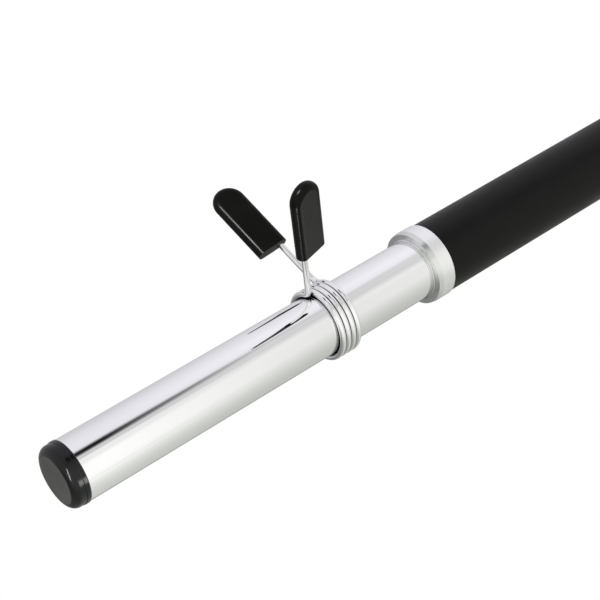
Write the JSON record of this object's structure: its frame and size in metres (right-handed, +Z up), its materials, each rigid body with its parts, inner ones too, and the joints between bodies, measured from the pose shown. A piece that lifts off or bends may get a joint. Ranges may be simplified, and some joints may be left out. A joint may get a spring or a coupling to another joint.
{
  "type": "weight bar",
  "caption": "Straight chromed tube bar with a black rubber grip, stop rings, round end caps and a wire spring clip with flat finger pads on each sleeve.",
  "frame": {"origin": "the middle of the bar's axis, halfway along the grip", "axes": "+X along the bar towards the right end, +Z up, the side that the clips' outer arms point to; the left clip's inner arm leans towards +Y and the right one towards -Y"},
  "size_m": [1.3, 0.1538, 0.1011],
  "materials": {
    "chrome_tube": "polished chrome plate",
    "grip_rubber": "satin smooth rubber",
    "brushed_ring": "turned and brushed nickel",
    "screw_steel": "black oxide",
    "cap_plastic": "semi-gloss moulded plastic",
    "spring_wire": "bright plated spring wire",
    "pad_plastic": "semi-gloss moulded plastic"
  },
  "bodies": {
    "bar": {"bar_tube": "chrome_tube", "grip_sleeve": "grip_rubber", "left_stop_ring": "brushed_ring", "left_ring_screw": "screw_steel", "left_end_cap": "cap_plastic", "right_stop_ring": "brushed_ring", "right_ring_screw": "screw_steel", "right_end_cap": "cap_plastic"},
    "left_clip_coil": {"left_clip_coil": "spring_wire"},
    "left_clip_inner_arm": {"left_clip_inner_arm": "spring_wire", "left_clip_inner_pad": "pad_plastic"},
    "left_clip_outer_arm": {"left_clip_outer_arm": "spring_wire", "left_clip_outer_pad": "pad_plastic"},
    "right_clip_coil": {"right_clip_coil": "spring_wire"},
    "right_clip_inner_arm": {"right_clip_inner_arm": "spring_wire", "right_clip_inner_pad": "pad_plastic"},
    "right_clip_outer_arm": {"right_clip_outer_arm": "spring_wire", "right_clip_outer_pad": "pad_plastic"}
  },
  "joints": [
    {"name": "left_clip_slide", "type": "slide", "parent": "bar", "child": "left_clip_coil", "axis": [1, 0, 0], "range_m": [-0.165, 0.045]},
    {"name": "left_clip_turn", "type": "hinge", "parent": "left_clip_coil", "child": "left_clip_inner_arm", "pos_m": [-0.4983, 0, 0], "axis": [1, 0, 0], "continuous": true},
    {"name": "left_clip_squeeze", "type": "hinge", "parent": "left_clip_inner_arm", "child": "left_clip_outer_arm", "pos_m": [-0.4983, 0, 0], "axis": [-1, 0, 0], "range_deg": [0, 42], "stiffness_Nm_per_rad": 1.6, "springref_deg": -11.46, "deforming": ["left_clip_coil"]},
    {"name": "right_clip_slide", "type": "slide", "parent": "bar", "child": "right_clip_coil", "axis": [-1, 0, 0], "range_m": [-0.165, 0.045]},
    {"name": "right_clip_turn", "type": "hinge", "parent": "right_clip_coil", "child": "right_clip_inner_arm", "pos_m": [0.4983, 0, 0], "axis": [-1, 0, 0], "continuous": true},
    {"name": "right_clip_squeeze", "type": "hinge", "parent": "right_clip_inner_arm", "child": "right_clip_outer_arm", "pos_m": [0.4983, 0, 0], "axis": [1, 0, 0], "range_deg": [0, 42], "stiffness_Nm_per_rad": 1.6, "springref_deg": -11.46, "deforming": ["right_clip_coil"]}
  ]
}
